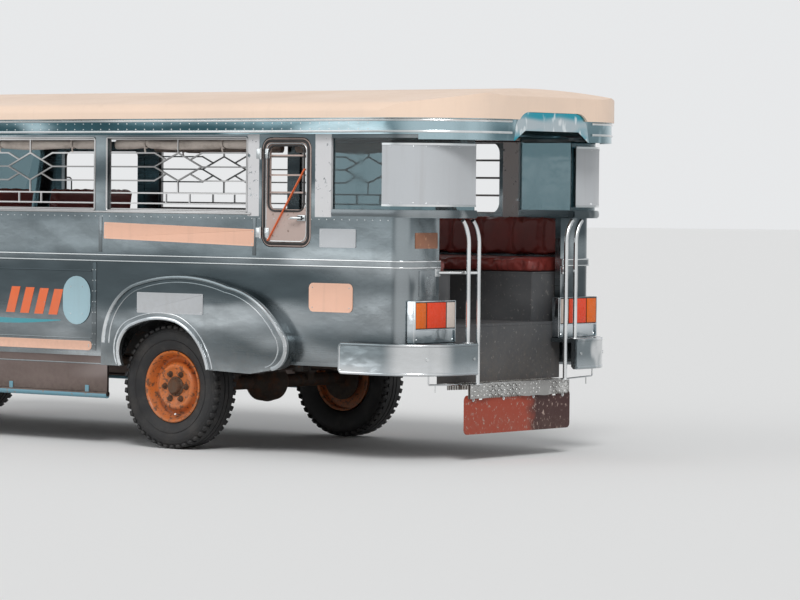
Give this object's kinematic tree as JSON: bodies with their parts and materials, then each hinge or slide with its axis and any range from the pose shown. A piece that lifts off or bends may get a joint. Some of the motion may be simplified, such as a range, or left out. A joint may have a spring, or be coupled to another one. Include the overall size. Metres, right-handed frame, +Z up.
{
  "type": "passenger jeepney",
  "caption": "Long stainless-bodied passenger jeepney with a peach roof, diamond window grilles, side benches, rear doorway and orange deep-dish wheels.",
  "frame": {"origin": "on the ground on the centre line, midway along the overall length", "axes": "+X forward, +Y to the vehicle's left, +Z up"},
  "size_m": [6.35, 2.27, 2.2],
  "materials": {
    "chassis_black": "dusty matt black",
    "engine_iron": "oily cast iron",
    "exhaust_steel": "rusty steel pipe",
    "axle_rust": "rusty forging with road dirt",
    "spring_steel": "dark spring steel",
    "floor_paint": "worn grey paint",
    "stainless_panel": "bright stainless sheet, lightly dented",
    "window_paint": "white-grey paint",
    "grille_chrome": "polished",
    "clear_pane": "clear, a little cloudy",
    "dash_paint": "satin grey paint",
    "wheel_plastic": "worn black",
    "roof_peach": "faded peach paint",
    "mirror_steel": "mirror polish",
    "seat_vinyl": "dark red vinyl",
    "canvas": "beige-grey canvas",
    "lamp_glass": "ribbed lens",
    "bumper_chrome": "polished, a little dull",
    "lamp_red": "amber, red and white lenses",
    "step_steel": "chequer plate",
    "mud_paint": "orange-red paint",
    "mirror_glass": "glass in a bright frame",
    "tyre_rubber": "worn black rubber",
    "rim_orange": "orange paint, rusty hub"
  },
  "bodies": {
    "body": {"chassis_frame": "chassis_black", "engine_block": "engine_iron", "exhaust": "exhaust_steel", "fuel_tank": "chassis_black", "rear_axle": "axle_rust", "front_axle": "axle_rust", "leaf_springs": "spring_steel", "floor_pan": "floor_paint", "side_panels": "stainless_panel", "window_walls": "window_paint", "window_grilles": "grille_chrome", "clear_panes": "clear_pane", "cab_front": "stainless_panel", "dashboard": "dash_paint", "roof_shell": "roof_peach", "roof_fascia": "stainless_panel", "rear_valance": "mirror_steel", "seat_bases": "floor_paint", "bench_cushions": "seat_vinyl", "bench_backs": "seat_vinyl", "cab_seat_pads": "seat_vinyl", "rolled_curtains": "canvas", "nose_grille": "grille_chrome", "headlamps": "lamp_glass", "front_fenders": "stainless_panel", "rear_fenders": "stainless_panel", "bumpers": "bumper_chrome", "tail_lamps": "lamp_red", "rear_step": "step_steel", "mud_board": "mud_paint", "handrails": "grille_chrome", "side_skirts": "stainless_panel", "mirrors": "mirror_glass"},
    "knuckle_left": {"knuckle_left": "axle_rust"},
    "knuckle_right": {"knuckle_right": "axle_rust"},
    "tie_rod": {"tie_rod": "axle_rust"},
    "steering_wheel": {"steering_wheel": "wheel_plastic"},
    "front_door_left": {"front_door_left": "stainless_panel"},
    "front_door_right": {"front_door_right": "stainless_panel"},
    "emergency_door": {"emergency_door": "window_paint"},
    "hood": {"hood": "stainless_panel"},
    "wheel_rear_left": {"wheel_rear_left": "rim_orange", "tyre_rear_left": "tyre_rubber"},
    "wheel_rear_right": {"wheel_rear_right": "rim_orange", "tyre_rear_right": "tyre_rubber"},
    "wheel_front_left": {"wheel_front_left": "rim_orange", "tyre_front_left": "tyre_rubber"},
    "wheel_front_right": {"wheel_front_right": "rim_orange", "tyre_front_right": "tyre_rubber"}
  },
  "joints": [
    {"name": "spin_rear_left", "type": "hinge", "parent": "body", "child": "wheel_rear_left", "pos_m": [-0.975, 0.825, 0.38], "axis": [0, 1, 0], "continuous": true},
    {"name": "spin_rear_right", "type": "hinge", "parent": "body", "child": "wheel_rear_right", "pos_m": [-0.975, -0.825, 0.38], "axis": [0, 1, 0], "continuous": true},
    {"name": "steer_left", "type": "hinge", "parent": "body", "child": "knuckle_left", "pos_m": [2.375, 0.66, 0.38], "axis": [0, 0, 1], "range_deg": [-32, 32]},
    {"name": "steer_right", "type": "hinge", "parent": "body", "child": "knuckle_right", "pos_m": [2.375, -0.66, 0.38], "axis": [0, 0, 1], "range_deg": [-32, 32]},
    {"name": "spin_front_left", "type": "hinge", "parent": "knuckle_left", "child": "wheel_front_left", "pos_m": [2.375, 0.8, 0.38], "axis": [0, 1, 0], "continuous": true},
    {"name": "spin_front_right", "type": "hinge", "parent": "knuckle_right", "child": "wheel_front_right", "pos_m": [2.375, -0.8, 0.38], "axis": [0, 1, 0], "continuous": true},
    {"name": "tie_rod_swing", "type": "hinge", "parent": "knuckle_left", "child": "tie_rod", "pos_m": [2.225, 0.66, 0.333], "axis": [0, 0, 1], "range_deg": [-32, 32]},
    {"name": "steering_turn", "type": "hinge", "parent": "body", "child": "steering_wheel", "pos_m": [1.515, 0.43, 1.275], "axis": [-0.788, 0, 0.6157], "range_deg": [-512, 512]},
    {"name": "door_left_swing", "type": "hinge", "parent": "body", "child": "front_door_left", "pos_m": [1.717, 0.964, 1.2], "axis": [0, 0, -1], "range_deg": [0, 70]},
    {"name": "door_right_swing", "type": "hinge", "parent": "body", "child": "front_door_right", "pos_m": [1.717, -0.964, 1.2], "axis": [0, 0, 1], "range_deg": [0, 70]},
    {"name": "escape_swing", "type": "hinge", "parent": "body", "child": "emergency_door", "pos_m": [-1.723, 0.964, 1.5], "axis": [0, 0, -1], "range_deg": [0, 100]},
    {"name": "hood_lift", "type": "hinge", "parent": "body", "child": "hood", "pos_m": [1.928, 0, 1.279], "axis": [0, -1, 0], "range_deg": [0, 55]}
  ],
  "couplings": [
    {"joint": "steer_right", "follows": "steer_left", "ratio": 1},
    {"joint": "tie_rod_swing", "follows": "steer_left", "ratio": -1},
    {"joint": "steering_turn", "follows": "steer_left", "ratio": 16}
  ]
}
